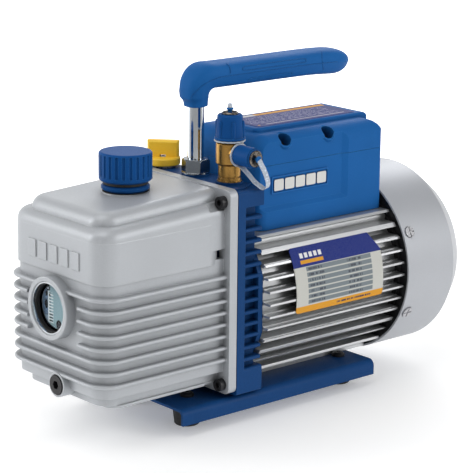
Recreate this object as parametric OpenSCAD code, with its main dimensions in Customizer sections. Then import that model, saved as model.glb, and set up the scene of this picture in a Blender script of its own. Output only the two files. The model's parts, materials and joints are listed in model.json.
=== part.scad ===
// Two-stage rotary vane vacuum pump, portable, direct driven.
// Shaft along Y, oil tank at -Y, fan cover at +Y, feet on Z = 0.

/* [Overall] */
// height of the pump and motor shaft above the floor
shaft_z = 87.2; // [80:0.1:95]
// rear face of the centre bracket's front band, where the oil tank seals
joint_y = -52.2; // [-60:0.1:-45]
// height of the centre bracket's top face
bracket_top = 172.5; // [165:0.5:180]

/* [Base plate] */
// half width of the folded base plate
base_hw = 56.8; // [50:0.1:62]
// front edge of the base plate
base_y0 = -99.7; // [-105:0.1:-90]
// rear edge of the base plate
base_y1 = 89.7; // [80:0.1:100]
// lower edge of the side flanges
base_z0 = 9.2; // [6:0.1:12]
// top face of the base plate
base_z1 = 20.9; // [18:0.1:24]
// sheet thickness
base_t = 2; // [1.5:0.1:3]
// foot position across
foot_x = 32; // [25:0.5:40]
// foot position along, front and rear alike
foot_y = 75.5; // [70:0.5:80]
// foot radius on the floor
foot_r = 9.3; // [8:0.1:12]

/* [Oil tank] */
// half width over the fins
fin_hw = 56.9; // [50:0.1:60]
// front of the fins
fin_y0 = -171.7; // [-175:0.1:-165]
// height of the lowest fin's middle
fin_z0 = 50.5; // [45:0.1:55]
// fin spacing
fin_pitch = 8.73; // [8:0.01:9.5]
// number of fins
fin_n = 8; // [6:1:10]
// fin thickness
fin_t = 2.9; // [2:0.1:4]
// tank wall thickness
tank_t = 4.5; // [3:0.1:6]
// half width of the rear flange
flange_hw = 59.5; // [55:0.1:62]
// height of the sight glass centre
sight_z = 97.3; // [90:0.1:105]
// outer radius of the sight glass boss
sight_r = 22.6; // [20:0.1:25]
// filler position along
filler_y = -106.2; // [-115:0.1:-100]
// filler cap radius
filler_r = 19; // [16:0.5:22]
// top face of the tank
tank_top = 171.5; // [168:0.1:174]
// drain plug position across
drain_x = 6.3; // [0:0.1:12]
// drain plug height
drain_z = 42.8; // [38:0.1:46]

/* [Handle] */
// post position along
post_y = -41.8; // [-45:0.1:-38]
// post radius
post_r = 6.05; // [5:0.05:8]
// top of the grip
grip_top = 255.6; // [245:0.1:265]
// rear end of the grip
grip_y1 = 106.4; // [90:0.1:115]
// grip width
grip_w = 27; // [22:0.5:32]

/* [Inlet] */
// inlet tee position across
tee_x = 35.3; // [30:0.1:40]
// inlet tee position along
tee_y = -40; // [-44:0.1:-36]
// height of the side port's axis
side_z = 195.7; // [188:0.1:200]

/* [Terminal box] */
// half width
box_hw = 41; // [36:0.1:45]
// front face
box_y0 = -16.2; // [-20:0.1:-10]
// rear face
box_y1 = 108; // [100:0.1:109]
// lower edge
box_z0 = 134.8; // [130:0.1:138]
// seam between base and cover
seam_z = 182; // [175:0.1:190]
// shoulder height of the cover
shoulder_z = 203.6; // [198:0.1:206]
// plateau height of the cover
plateau_z = 206.7; // [202:0.1:210]
// wall thickness
box_t = 3.4; // [3:0.1:3.5]

/* [Motor] */
// radius over the fin tips
motor_r = 67.5; // [60:0.1:72]
// outer radius of the round core
core_r = 57; // [52:0.5:60]
// bore that holds the stator
stator_r = 50; // [45:0.5:52]
// front face
motor_y0 = -27.7; // [-30:0.1:-25]
// rear face
motor_y1 = 109; // [100:0.1:112]
// fin spacing
mfin_pitch = 9.3; // [8:0.1:10]
// shaft radius
shaft_r = 8; // [6:0.1:10]
// fan cover radius
cover_r = 71.65; // [68:0.05:74]
// front rim of the fan cover
cover_y0 = 109.4; // [108:0.1:112]
// end of the fan cover's straight part
cover_y1 = 158.6; // [150:0.1:165]
// rear face of the fan cover
cover_y2 = 175.6; // [170:0.1:180]

/* [Pump stages] */
// bore radius of both stages
stage_r = 30; // [26:0.5:33]
// rotor radius
rotor_r = 25.9; // [22:0.1:29]
// distance between the bore axis and the shaft
stage_e = 4; // [3:0.1:5]
// rotor shaft radius
pshaft_r = 7; // [6:0.1:8]

/* [Hidden] */
$fn = 96;
flange_y0 = joint_y - 7.5;
blue = [0.09, 0.27, 0.56];
silver = [0.74, 0.75, 0.76];
black = [0.05, 0.05, 0.05];
chrome = [0.8, 0.8, 0.8];
brass = [0.72, 0.53, 0.25];
fin_front_r = 17.4;
wall_hw = fin_hw - 4.4;
wall_y0 = fin_y0 + 4.4;
cavity_hw = wall_hw - tank_t;
cavity_y0 = wall_y0 + tank_t;
boss_y = -175.6;
bolt_x = 14;
screw_x = [-52.2, 52.2];
screw_z = [31.3, 165.6];
post_base = bracket_top + 1.6;
label_z0 = -11;
label_z1 = 36;

// a flat outline drawn in X and Z, swept along Y
module along_y(y0, y1)
    translate([0, y1, 0]) rotate([90, 0, 0]) linear_extrude(y1 - y0) children();

// a flat outline drawn in Y and Z, swept along X
module along_x(x0, x1)
    translate([x0, 0, 0]) rotate([90, 0, 90]) linear_extrude(x1 - x0) children();

module rod_y(r, y0, y1, x = 0, z = 0)
    translate([x, y1, z]) rotate([90, 0, 0]) cylinder(r = r, h = y1 - y0);

module rod_x(r, x0, x1, y = 0, z = 0)
    translate([x0, y, z]) rotate([0, 90, 0]) cylinder(r = r, h = x1 - x0);

module block(x0, x1, y0, y1, z0, z1)
    translate([x0, y0, z0]) cube([x1 - x0, y1 - y0, z1 - z0]);

// flat rectangle with four round corners
module round_rect(a0, a1, b0, b1, r) {
    translate([a0 + r, b0]) square([a1 - a0 - 2 * r, b1 - b0]);
    translate([a0, b0 + r]) square([a1 - a0, b1 - b0 - 2 * r]);
    for (a = [a0 + r, a1 - r], b = [b0 + r, b1 - r]) translate([a, b]) circle(r);
}

// flat rectangle whose two upper corners are round
module arch_rect(a0, a1, b0, b1, r) {
    translate([a0, b0]) square([a1 - a0, b1 - b0 - r]);
    translate([a0 + r, b0]) square([a1 - a0 - 2 * r, b1 - b0]);
    for (a = [a0 + r, a1 - r]) translate([a, b1 - r]) circle(r);
}

// upright block with round vertical corners (cr) and a round top edge (er)
module pad(x0, x1, y0, y1, z0, z1, cr, er) {
    h = z1 - z0;
    along_y(y0 + cr, y1 - cr) arch_rect(x0, x1, z0, z1, er);
    along_x(x0 + cr, x1 - cr) arch_rect(y0, y1, z0, z1, er);
    for (x = [x0 + cr, x1 - cr], y = [y0 + cr, y1 - cr])
        translate([x, y, z0]) rotate_extrude() {
            square([cr, h - er]);
            square([cr - er, h]);
            translate([cr - er, h - er]) intersection() {
                circle(er);
                square(er);
            }
        }
}

// socket-head screw, head at the origin's -Y side, shank towards +Y
module socket_screw(hr, hh, sr, sl) {
    difference() {
        rod_y(hr, -hh, 0);
        translate([0, -hh + hh * 0.55, 0]) rotate([90, 0, 0]) cylinder(r = hr * 0.55, h = hh, $fn = 6);
    }
    rod_y(sr, -0.5, sl);
}

// ---- base ----

module base_plate() color(blue) {
    r = 5;
    difference() {
        along_y(base_y0, base_y1) arch_rect(-base_hw, base_hw, base_z0, base_z1, r);
        along_y(base_y0 - 1, base_y1 + 1)
            arch_rect(-base_hw + base_t, base_hw - base_t, base_z0 - 1, base_z1 - base_t, r - base_t);
        for (x = [-foot_x, foot_x], y = [-foot_y, foot_y])
            translate([x, y, base_z1 - base_t - 1]) cylinder(r = 3.1, h = 5);
        for (x = [-bolt_x, bolt_x], y = [-40, 40])
            translate([x, y, base_z1 - base_t - 1]) cylinder(r = 3.3, h = 5);
    }
}

module rubber_feet() color(black) {
    h = base_z1 - base_t;
    for (x = [-foot_x, foot_x], y = [-foot_y, foot_y])
        translate([x, y, 0]) rotate_extrude() difference() {
            union() {
                polygon([[0, 0], [foot_r - 1.5, 0], [foot_r, 1.5], [foot_r + 2.2, h], [0, h]]);
                translate([foot_r - 1.5, 1.5]) circle(1.5);
            }
            translate([-1, -1]) square([6, 4]);
            translate([0, 2]) square([2.9, h]);
        }
}

module foot_screws() color([0.12, 0.12, 0.13]) {
    for (x = [-foot_x, foot_x], y = [-foot_y, foot_y])
        translate([x, y, base_z1]) {
            difference() {
                union() {
                    cylinder(r = 5, h = 1.6);
                    translate([0, 0, 1.6]) cylinder(r1 = 5, r2 = 3.4, h = 1.4);
                }
                for (a = [0, 90]) rotate([0, 0, a]) translate([-2.6, -0.5, 1.6]) cube([5.2, 1, 3]);
            }
            translate([0, 0, -14]) cylinder(r = 2.85, h = 14.2);
        }
}

// ---- centre bracket ----

module centre_bracket() color(blue) {
    band_y1 = joint_y + 7;
    drum_y0 = -31.4;
    rear = -28.2;
    core_hw = 53.5;
    difference() {
        union() {
            along_y(joint_y, band_y1) round_rect(-flange_hw, flange_hw, 22.5, bracket_top, 4);
            along_y(band_y1 - 1, drum_y0) round_rect(-core_hw, core_hw, 24, bracket_top - 4, 4);
            along_y(drum_y0 - 1, rear) {
                intersection() {
                    round_rect(-flange_hw, flange_hw, 24, bracket_top - 2, 6);
                    union() {
                        translate([0, shaft_z]) circle(63);
                        translate([-49, 24]) square([98, bracket_top - 26]);
                    }
                }
            }
            // upper block that carries the handle, the inlet and the ballast valve
            along_y(joint_y, rear) arch_rect(-flange_hw, flange_hw, 160.5, bracket_top, 2);
            // lower block
            along_y(joint_y, rear) round_rect(-flange_hw, flange_hw, 22.5, 41.7, 2);
            along_y(joint_y + 3, rear - 2) translate([-48, base_z1]) square([96, 4]);
            // low pad on the upper block, with round seats for the post and the inlet
            translate([0, 0, bracket_top - 1]) {
                linear_extrude(2.2) polygon([[-54, -50.6], [54, -50.6], [54, -41], [45.5, -29],
                    [-45.5, -29], [-54, -41]]);
                translate([tee_x, tee_y, 0]) cylinder(r = 10, h = 3.9);
                translate([0, post_y, 0]) cylinder(r = 10.3, h = 3.9);
            }
            for (i = [0 : 12]) along_y(band_y1 - 1, -29.8)
                translate([0, 48.1 + i * 8.68]) {
                    translate([-flange_hw + 1.5, -1.5]) square([2 * flange_hw - 3, 3]);
                    for (s = [-1, 1]) translate([s * (flange_hw - 1.5), 0]) circle(1.5);
                }
        }
        // seal seat, coupling space and front bearing seat
        rod_y(13, joint_y - 1, joint_y + 8, 0, shaft_z);
        rod_y(11.5, joint_y + 7, -38, 0, shaft_z);
        rod_y(17.5, -39.5, rear + 1, 0, shaft_z);
        // suction channel from the inlet tee to the first stage
        translate([tee_x, tee_y, bracket_top - 30]) cylinder(r = 5, h = 34);
        // post, ballast and screw holes
        translate([0, post_y, bracket_top - 26]) cylinder(r = post_r, h = 30);
        translate([-38, -41, bracket_top - 16]) cylinder(r = 5, h = 18);
        for (x = screw_x, z = screw_z) rod_y(2.5, joint_y - 1, joint_y + 16, x, z);
        for (a = [45 : 90 : 315])
            rod_y(2.3, joint_y - 1, joint_y + 12, 36.2 * cos(a), shaft_z + 36.2 * sin(a));
        for (x = [-40, 40], z = [-41, 41]) rod_y(2.2, rear - 10, rear + 1, x, shaft_z + z);
        for (x = [-bolt_x, bolt_x]) translate([x, -40, 18]) cylinder(r = 3, h = 14);
    }
}

module bracket_bolts() color([0.6, 0.6, 0.62]) {
    for (x = [-bolt_x, bolt_x], y = [-40, 40]) {
        translate([x, y, base_z1 - base_t - 4]) cylinder(r = 5.8, h = 4, $fn = 6);
        translate([x, y, base_z1 - base_t - 1]) cylinder(r = 3, h = 11);
    }
}

// ---- oil tank ----

// one wrap-round fin with a half-round edge
module tank_fin() {
    t = fin_t / 2;
    r = fin_front_r;
    y1 = flange_y0 + 0.5;
    translate([0, 0, -t]) {
        block(-fin_hw + t, fin_hw - t, fin_y0 + r, y1, 0, fin_t);
        block(-fin_hw + r, fin_hw - r, fin_y0 + t, y1, 0, fin_t);
        for (s = [-1, 1]) translate([s * (fin_hw - r), fin_y0 + r, 0]) cylinder(r = r - t, h = fin_t);
    }
    for (s = [-1, 1]) {
        rod_y(t, fin_y0 + r, y1, s * (fin_hw - t), 0);
        translate([s * (fin_hw - r), fin_y0 + r, 0]) rotate([0, 0, s > 0 ? -90 : 180])
            rotate_extrude(angle = 90) translate([r - t, 0]) circle(t);
    }
    rod_x(t, -fin_hw + r, fin_hw - r, fin_y0 + t, 0);
}

// tilt of the tank's top about the filler
module tank_slope() translate([0, filler_y, tank_top]) rotate([2.9, 0, 0])
    translate([0, -filler_y, -tank_top]) children();

module oil_tank() color(silver) {
    up_hw = wall_hw + 1.4;
    up_y0 = wall_y0 - 1.4;
    up_z0 = 121.6;
    plat_hw = 44.5;
    plat_y0 = -162.5;
    difference() {
        union() {
            // flange
            along_y(flange_y0, joint_y - 0.6) round_rect(-flange_hw, flange_hw, 24.6, 174.6, 5);
            // ribbed wall
            pad(-wall_hw, wall_hw, wall_y0, flange_y0 + 20, 41, 125, 14, 1);
            for (i = [0 : fin_n - 1]) translate([0, 0, fin_z0 + i * fin_pitch]) difference() {
                tank_fin();
                if (i > 2 && i < 7) block(-29, 29, fin_y0 - 1, wall_y0, -3, 3);
            }
            // plain upper block, then the shoulder and raised top that fall towards the front
            pad(-up_hw, up_hw, up_y0, flange_y0 + 1, up_z0, 151.2, 15.4, 0.6);
            intersection() {
                tank_slope() {
                    pad(-up_hw + 0.2, up_hw - 0.2, up_y0 - 0.87, flange_y0 + 30, 130, 162.9, 15.4, 8.5);
                    pad(-plat_hw, plat_hw, plat_y0, flange_y0 + 30, 150, tank_top, 14, 9);
                }
                block(-70, 70, -180, flange_y0 + 1, 100, 180);
            }
            // level seat under the filler
            translate([0, filler_y, tank_top - 6]) cylinder(r = 16.8, h = 6);
            // sump and its lip
            pad(-46.5, 46.5, -161.5, flange_y0 + 12, 33.5, 43, 12, 1);
            pad(-48, 48, -156, flange_y0 + 12, 31.6, 33.6, 10, 0.6);
            // sight glass boss
            rod_y(sight_r, boss_y + 1.2, wall_y0 + 8, 0, sight_z);
            translate([0, boss_y + 1.2, sight_z]) rotate([90, 0, 0]) rotate_extrude()
                intersection() {
                    translate([sight_r - 1.9, 0]) circle(1.9);
                    square([sight_r + 1, 1.2]);
                }
            // drain boss
            rod_y(8.9, -172.6, -150, drain_x, drain_z);
        }
        // joint face
        block(-80, 80, joint_y - 0.6, joint_y + 30, 0, 200);
        // inside
        pad(-cavity_hw, cavity_hw, cavity_y0, joint_y + 20, 40, 152, 9, 3);
        pad(-37, 37, -149, joint_y + 20, 100, tank_top - 7.1, 9, 4);
        translate([0, filler_y, tank_top]) cylinder(r = 17.2, h = 6);
        // sight glass seat
        rod_y(18.7, boss_y - 1, -168, 0, sight_z);
        rod_y(15.5, -169, cavity_y0 + 1, 0, sight_z);
        // drain bore and its counterbore
        rod_y(5.05, -176, -150, drain_x, drain_z);
        rod_y(7.4, -176, -169.4, drain_x, drain_z);
        // filler hole
        translate([0, filler_y, tank_top - 12]) cylinder(r = 9, h = 14);
        // screw holes and room for the upper heads
        for (x = screw_x, z = screw_z) {
            rod_y(2.8, flange_y0 - 1, joint_y, x, z);
            rod_y(5.6, flange_y0 - 13, flange_y0, x, z);
            block(min(x, x * 1.3), max(x, x * 1.3), flange_y0 - 13, flange_y0, z - 5.6, z + 5.6);
        }
    }
    // small cast marks on the front, in place of lettering
    for (i = [0 : 4])
        block(-30 + i * 12.5, -21 + i * 12.5, up_y0 - 0.8, up_y0 + 0.5, 129, 141.4);
}

module tank_gasket() color([0.15, 0.15, 0.16]) difference() {
    along_y(joint_y - 0.6, joint_y) round_rect(-flange_hw + 0.5, flange_hw - 0.5, 25.1, 174, 5);
    along_y(joint_y - 1, joint_y + 1) round_rect(-45, 45, 46, 160, 5);
    for (x = screw_x, z = screw_z) rod_y(2.8, joint_y - 1, joint_y + 1, x, z);
}

module tank_screws() color(black)
    for (x = screw_x, z = screw_z)
        translate([x, flange_y0, z]) socket_screw(4.5, 4.6, 2.5, 20);

module sight_ring() color(chrome) difference() {
    rod_y(18.65, -174.6, -172.4, 0, sight_z);
    rod_y(17.7, -175, -172, 0, sight_z);
}

module sight_seal() color(black) difference() {
    rod_y(18.6, -172.4, -169.6, 0, sight_z);
    rod_y(16.9, -173, -169, 0, sight_z);
}

module sight_glass() color([0.8, 0.9, 0.95, 0.35]) rod_y(18.4, -169.6, -168, 0, sight_z);

module level_plate() color([0.66, 0.78, 0.8]) rod_y(15.4, -167.6, -166.8, 0, sight_z);

module filler_collar() color(blue) translate([0, filler_y, tank_top]) difference() {
    union() {
        translate([0, 0, -11]) cylinder(r = 8.9, h = 12);
        cylinder(r = 14, h = 1);
        // rounded ring under the cap
        rotate_extrude() {
            translate([0, 0.7]) square([15.3, 4.6]);
            translate([14.9, 0.7 + 2.3]) circle(2.3);
            translate([14.9, 2.2]) square([2.35, 1.6]);
        }
        cylinder(r = 12.4, h = 19);
    }
    translate([0, 0, -12]) cylinder(r = 6.5, h = 40);
}

// black ring between the collar and the tank
module filler_seal() color(black) translate([0, filler_y, tank_top + 5.5]) difference() {
    cylinder(r = 16, h = 2.1);
    translate([0, 0, -1]) cylinder(r = 12.8, h = 4);
}

module filler_cap() color(blue) translate([0, filler_y, tank_top + 7.7]) difference() {
    h = 20.7;
    rotate_extrude() difference() {
        union() {
            polygon([[0, 0], [filler_r - 1.2, 0], [filler_r, 1.2], [filler_r, h - 1.8],
                [filler_r - 1.8, h], [0, h]]);
            translate([filler_r - 1.8, h - 1.8]) circle(1.8);
        }
        translate([-10, -10]) square([10, 40]);
        translate([0, -1]) square([12.46, 16]);
    }
    for (i = [0 : 23]) rotate([0, 0, i * 15 + 3]) {
        translate([filler_r + 0.25, 0, 4.2]) cylinder(r = 1.15, h = h - 5.6);
        translate([filler_r + 0.25, 0, 4.2]) sphere(1.15);
    }
}

module exhaust_filter() color([0.85, 0.85, 0.8])
    translate([0, filler_y, tank_top - 29]) difference() {
        cylinder(r = 13, h = 18);
        translate([0, 0, 2]) cylinder(r = 8, h = 20);
    }

module drain_seal() color([0.75, 0.45, 0.3]) difference() {
    rod_y(7, -170.4, -169.8, drain_x, drain_z);
    rod_y(5.4, -171, -169, drain_x, drain_z);
}

module drain_plug() color(black) translate([drain_x, -170.8, drain_z]) difference() {
    union() {
        rod_y(7, -2.6, 0);
        rod_y(5, -1, 14);
    }
    translate([0, 1, 0]) rotate([90, 0, 0]) cylinder(r = 3.3, h = 10, $fn = 6);
}

// ---- handle ----

module handle_post() color(chrome) translate([0, post_y, bracket_top - 24])
    cylinder(r = post_r - 0.02, h = 86);

module handle_nut() color(chrome) translate([0, post_y, bracket_top + 2.9]) difference() {
    union() {
        cylinder(r = 10.2, h = 1.1);
        translate([0, 0, 1.1]) intersection() {
            rotate([0, 0, 38]) cylinder(r = 10.5, h = 9.6, $fn = 6);
            union() {
                cylinder(r = 12, h = 8.4);
                translate([0, 0, 8.4]) cylinder(r1 = 10.4, r2 = 9, h = 1.2);
            }
        }
    }
    translate([0, 0, -1]) cylinder(r = post_r, h = 14);
}

// overmoulded grip: socket over the post, bent neck, long bar to the rear
module handle_grip() color(blue) {
    hw = grip_w / 2;
    y0 = -53.8;
    z_low = grip_top - 19.6;
    difference() {
        union() {
            intersection() {
                along_x(-hw, hw) {
                    // side outline
                    difference() {
                        union() {
                            translate([y0 + 21, z_low]) square([grip_y1 - y0 - 33, 19.6]);
                            translate([y0 + 22, grip_top - 22]) circle(22);
                            translate([grip_y1 - 11.5, grip_top - 11.5]) circle(11.5);
                            translate([y0, 226]) square([20, 14]);
                            translate([y0 + 1.6, 223]) square([18, 6]);
                        }
                        translate([grip_y1 - 30, z_low - 8]) square([40, 8.2]);
                        translate([y0 + 23, 200]) square([40, z_low - 200]);
                    }
                    translate([y0 + 15, 230]) square([8, 10]);
                }
                // section across
                along_y(y0 - 2, grip_y1 + 2) union() {
                    round_rect(-hw, hw, z_low, grip_top, 8.5);
                    translate([-10, 215]) square([20, 30]);
                    round_rect(-11.5, 11.5, 221, 246, 4);
                }
                // plan outline
                translate([0, 0, 200]) linear_extrude(80) {
                    round_rect(-hw, hw, y0 + 10, grip_y1, 9);
                    round_rect(-10.4, 10.4, y0, 10, 10.3);
                }
            }
        }
        translate([0, post_y, 200]) cylinder(r = post_r, h = 34.6);
    }
}

// ---- gas ballast valve ----

module ballast_body() color([0.6, 0.6, 0.62]) translate([-38, -41, bracket_top]) {
    difference() {
        union() {
            translate([0, 0, 1.2]) cylinder(r = 9, h = 1.4);
            translate([0, 0, -15]) cylinder(r = 4.9, h = 17);
            translate([0, 0, 1]) cylinder(r = 4, h = 8);
        }
        translate([0, 0, -16]) cylinder(r = 1.5, h = 30);
    }
}

module ballast_knob() color([0.93, 0.68, 0.1]) translate([-38, -41, bracket_top + 3.1]) {
    difference() {
        union() {
            cylinder(r1 = 12.2, r2 = 12.6, h = 0.6);
            translate([0, 0, 0.6]) cylinder(r = 12.6, h = 4.2);
            translate([0, 0, 4.8]) cylinder(r1 = 12.6, r2 = 11.7, h = 0.9);
            // wing with bevelled edges
            rotate([0, 0, 42.5]) intersection() {
                translate([0, 0, 5]) linear_extrude(13) polygon([[-11.7, -2], [-10.2, -3.4],
                    [10.2, -3.4], [11.7, -2], [11.7, 2], [10.2, 3.4], [-10.2, 3.4], [-11.7, 2]]);
                along_x(-12, 12) polygon([[-3.5, 4], [3.5, 4], [3.5, 16.4], [2, 17.9], [-2, 17.9],
                    [-3.5, 16.4]]);
            }
        }
        translate([0, 0, -1]) cylinder(r = 4.05, h = 8.2);
    }
}

// ---- inlet ----

module inlet_tee() color(brass) translate([tee_x, tee_y, 0]) difference() {
    union() {
        translate([0, 0, bracket_top]) {
            translate([0, 0, 2.9]) cylinder(r = 8.9, h = 0.8);
            translate([0, 0, 3.6]) cylinder(r = 8.3, h = 2.3);
            translate([0, 0, 5.8]) cylinder(r = 7.4, h = 1.4);
            translate([0, 0, 7.1]) cylinder(r = 8.15, h = 8);
            translate([0, 0, 14.8]) cylinder(r1 = 8.6, r2 = 9.9, h = 1.5);
            translate([0, 0, 16.3]) cylinder(r = 9.9, h = 14.1);
            translate([0, 0, 30.4]) cylinder(r1 = 9.9, r2 = 8.8, h = 1.1);
            translate([0, 0, 30]) cylinder(r = 7.5, h = 17);
        }
        translate([0, 0, bracket_top - 20]) cylinder(r = 4.9, h = 23);
        rod_x(7, 0, 9.2, 0, side_z);
        rod_x(5.2, 9, 24.6, 0, side_z);
    }
    translate([0, 0, bracket_top - 21]) cylinder(r = 3.5, h = 80);
    rod_x(2.6, 0, 30, 0, side_z);
}

module top_cap() color(blue) translate([tee_x, tee_y, bracket_top + 33.3]) difference() {
    h = 17.9;
    union() {
        rotate_extrude() polygon([[0, 0], [11, 0], [11, 1.1], [10.5, 1.5], [10, 1.5], [9.1, h - 1],
            [8.1, h], [0, h]]);
        for (i = [0 : 5]) rotate([0, 0, i * 60 - 24.9]) {
            translate([9.5, 0, 1.2]) cylinder(r = 1.2, h = 11.4);
            translate([9.5, 0, 12.6]) sphere(1.2);
        }
    }
    translate([0, 0, -1]) cylinder(r = 7.56, h = 16);
    cylinder(r = 2.06, h = 40);
}

module side_cap() color(blue) translate([tee_x, tee_y, side_z]) difference() {
    union() {
        rod_x(7.4, 10.9, 26.4);
        rod_x(6.7, 26.3, 27.4);
    }
    rod_x(5.26, 10, 25.4);
    rod_x(2.06, 20, 40);
}

// ring round the port's neck, strap, and the button that clips into the cap
module top_tether() color([0.85, 0.88, 0.9, 0.6]) translate([tee_x, tee_y, bracket_top]) {
    top = 51.7;
    translate([0, 0, 31.9]) difference() {
        cylinder(r = 11.3, h = 1);
        translate([0, 0, -1]) cylinder(r = 7.8, h = 3);
    }
    translate([0, 0, top - 3]) cylinder(r = 2, h = 6.4);
    translate([0, 0, top]) cylinder(r = 5.9, h = 1.6);
    translate([0, 0, top + 2.7]) cylinder(r = 2.5, h = 1.2);
    rotate([0, 0, 110]) {
        block(10.9, 14.6, -1.8, 1.8, 31.9, 32.6);
        block(13.8, 14.6, -1.8, 1.8, 31.9, 58.6);
        block(-2.5, 14.6, -1.8, 1.8, 58, 58.7);
        block(-2.5, -1.8, -1.8, 1.8, 55.5, 58.7);
    }
}

module side_tether() color([0.85, 0.88, 0.9, 0.6]) translate([tee_x, tee_y, side_z]) {
    top = 27.6;
    difference() {
        union() {
            rod_x(8.55, 10, 10.8);
            rotate([14, 0, 0]) block(10.1, 10.6, -2.2, 2.2, -21, -7);
        }
        rod_x(5.5, 9, 13);
    }
    rod_x(2, top - 3, top + 3.4);
    rod_x(5.9, top, top + 1.6);
    rod_x(2.5, top + 2.8, top + 4.2);
    rotate([14, 0, 0]) {
        block(10.1, 36.2, -2.2, 2.2, -21.3, -20.7);
        block(35.6, 36.2, -2.2, 2.2, -21, 1.3);
        block(top + 3.8, 36, -2, 2, 0.6, 1.2);
    }
}

// ---- terminal box ----

// outline of the box walls in plan, with its own inset
module box_plan(inset)
    union() {
        round_rect(-box_hw + inset, box_hw - inset, box_y0 + inset, box_y1 - 20, 8 - inset);
        round_rect(-box_hw + inset, box_hw - inset, box_y0 + 20, box_y1 - inset, max(3 - inset, 0.4));
    }

// hollow side panel on the near side, with sloping edges
module side_panel() intersection() {
    d = 2.2;
    translate([0, 0, 100]) linear_extrude(150) polygon([[box_hw - d, box_y0 - 5], [box_hw - d, 67.5],
        [box_hw, 72.5], [box_hw + 5, 72.5], [box_hw + 5, box_y0 - 5]]);
    along_y(box_y0 - 5, 80) polygon([[box_hw - d, 151.6], [box_hw, 148.2], [box_hw + 5, 148.2],
        [box_hw + 5, 250], [box_hw - d, 250]]);
}

module box_base() color(blue) difference() {
    translate([0, 0, box_z0]) linear_extrude(seam_z - 0.2 - box_z0) box_plan(0);
    translate([0, 0, box_z0 + box_t]) linear_extrude(80) box_plan(box_t);
    // saddle over the motor's round top
    rod_y(core_r + 0.1, box_y0 - 1, box_y1 + 1, 0, shaft_z);
    side_panel();
    // power inlet and switch openings on the far side
    block(-box_hw - 5, -box_hw + 8, 8.2, 36.2, 152, 172.4);
    block(-box_hw - 5, -box_hw + 8, 46.2, 60.2, 151, 173);
}

module box_cover() color(blue) {
    difference() {
        union() {
            intersection() {
                pad(-box_hw, box_hw, box_y0, box_y1 + 30, seam_z, shoulder_z, 12.1, 12);
                along_x(-60, 60) round_rect(box_y0 - 30, box_y1, 100, shoulder_z, 12);
                translate([0, 0, seam_z]) linear_extrude(60) box_plan(0);
            }
            intersection() {
                pad(-24, 24, -5, box_y1 + 20, seam_z + 10, plateau_z, 5, 2.2);
                along_x(-60, 60) round_rect(-60, box_y1 - 0.8, 100, plateau_z, 4);
            }
        }
        intersection() {
            pad(-box_hw + box_t, box_hw - box_t, box_y0 + box_t, box_y1 + 30, seam_z - 1,
                shoulder_z - box_t, 9, 8.9);
            along_x(-60, 60) round_rect(box_y0 - 30, box_y1 - box_t, 100, shoulder_z - box_t, 9);
            translate([0, 0, seam_z - 1]) linear_extrude(60) box_plan(box_t);
        }
        side_panel();
        // sloping recesses for the cover screws
        for (s = [-1, 1], y = [11, 54]) screw_well(s, y)
            translate([0, 0, -2]) cylinder(r = 5.4, h = 12);
    }
    for (s = [-1, 1], y = [11, 54]) screw_well(s, y) difference() {
        translate([0, 0, -7.5]) cylinder(r = 7, h = 9);
        translate([0, 0, -6]) cylinder(r = 5.4, h = 12);
    }
}

// frame of one cover screw recess, 4 mm below the shoulder and square to it
module screw_well(s, y)
    translate([s * (box_hw - 12 + 6.2), y, shoulder_z - 12 + 6.2]) rotate([0, s * 45, 0]) children();

module box_screws() color([0.2, 0.2, 0.21])
    for (s = [-1, 1], y = [11, 54]) screw_well(s, y) translate([0, 0, -6]) difference() {
        cylinder(r = 3.6, h = 2);
        for (a = [0, 90]) rotate([0, 0, a]) translate([-2, -0.4, 1]) cube([4, 0.8, 3]);
    }

module box_label() color([0.1, 0.14, 0.45])
    translate([0, 0, plateau_z]) linear_extrude(0.3) round_rect(-20.5, 20.5, 0.5, 98.5, 2.5);

module side_badge() color([0.85, 0.85, 0.83]) along_x(box_hw - 2.2, box_hw - 1.3) {
    difference() {
        round_rect(-3, 53.5, 160.3, 173.3, 1.5);
        round_rect(-2, 52.5, 161.3, 172.3, 1);
    }
    for (i = [0 : 4]) translate([i * 10.6, 0]) round_rect(-0.6, 8.6, 162.6, 171, 1.2);
}

module capacitors() color([0.12, 0.12, 0.13]) {
    rod_y(15, -6, 62, -17, 161);
    rod_y(15, -6, 74, 17, 161);
    for (x = [-17, 17], z = [156, 166]) rod_y(1.6, -11, -5, x, z);
}

module switch_frame() color(black) difference() {
    block(-box_hw - 1.4, -box_hw + 7, 46.4, 60, 151.2, 172.8);
    block(-box_hw - 3, -box_hw + 5, 48.2, 58.2, 153, 171);
}

module rocker() color([0.75, 0.08, 0.06]) {
    // rocks about an axle along Y in the middle of the frame
    translate([-box_hw + 2.4, 0, 162]) difference() {
        union() {
            for (a = [-12, 0]) rotate([0, a, 0]) mirror([0, 0, a < 0 ? 1 : 0])
                block(-4.6, 0, 48.7, 57.7, 0, 7.9);
            rod_y(2, 48.7, 57.7);
        }
        block(0.6, 9, 40, 70, -12, 12);
    }
}

pins = [[15.2, 160.4], [22.2, 165], [29.2, 160.4]];

module power_inlet() color(black) difference() {
    union() {
        block(-box_hw - 1.6, -box_hw - 0.02, 7.2, 37.2, 150.6, 173.8);
        block(-box_hw - 0.4, -box_hw + 7.6, 8.4, 36, 152.2, 172.2);
    }
    along_x(-box_hw - 3, -box_hw + 6) round_rect(10.2, 34.2, 154, 170.4, 3);
    for (p = pins) block(-box_hw, -box_hw + 9, p[0] - 1.05, p[0] + 1.05, p[1] - 2.05, p[1] + 2.05);
}

module inlet_pins() color([0.75, 0.7, 0.5])
    for (p = pins) block(-box_hw, -box_hw + 7, p[0] - 1, p[0] + 1, p[1] - 2, p[1] + 2);

// ---- motor ----

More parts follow.
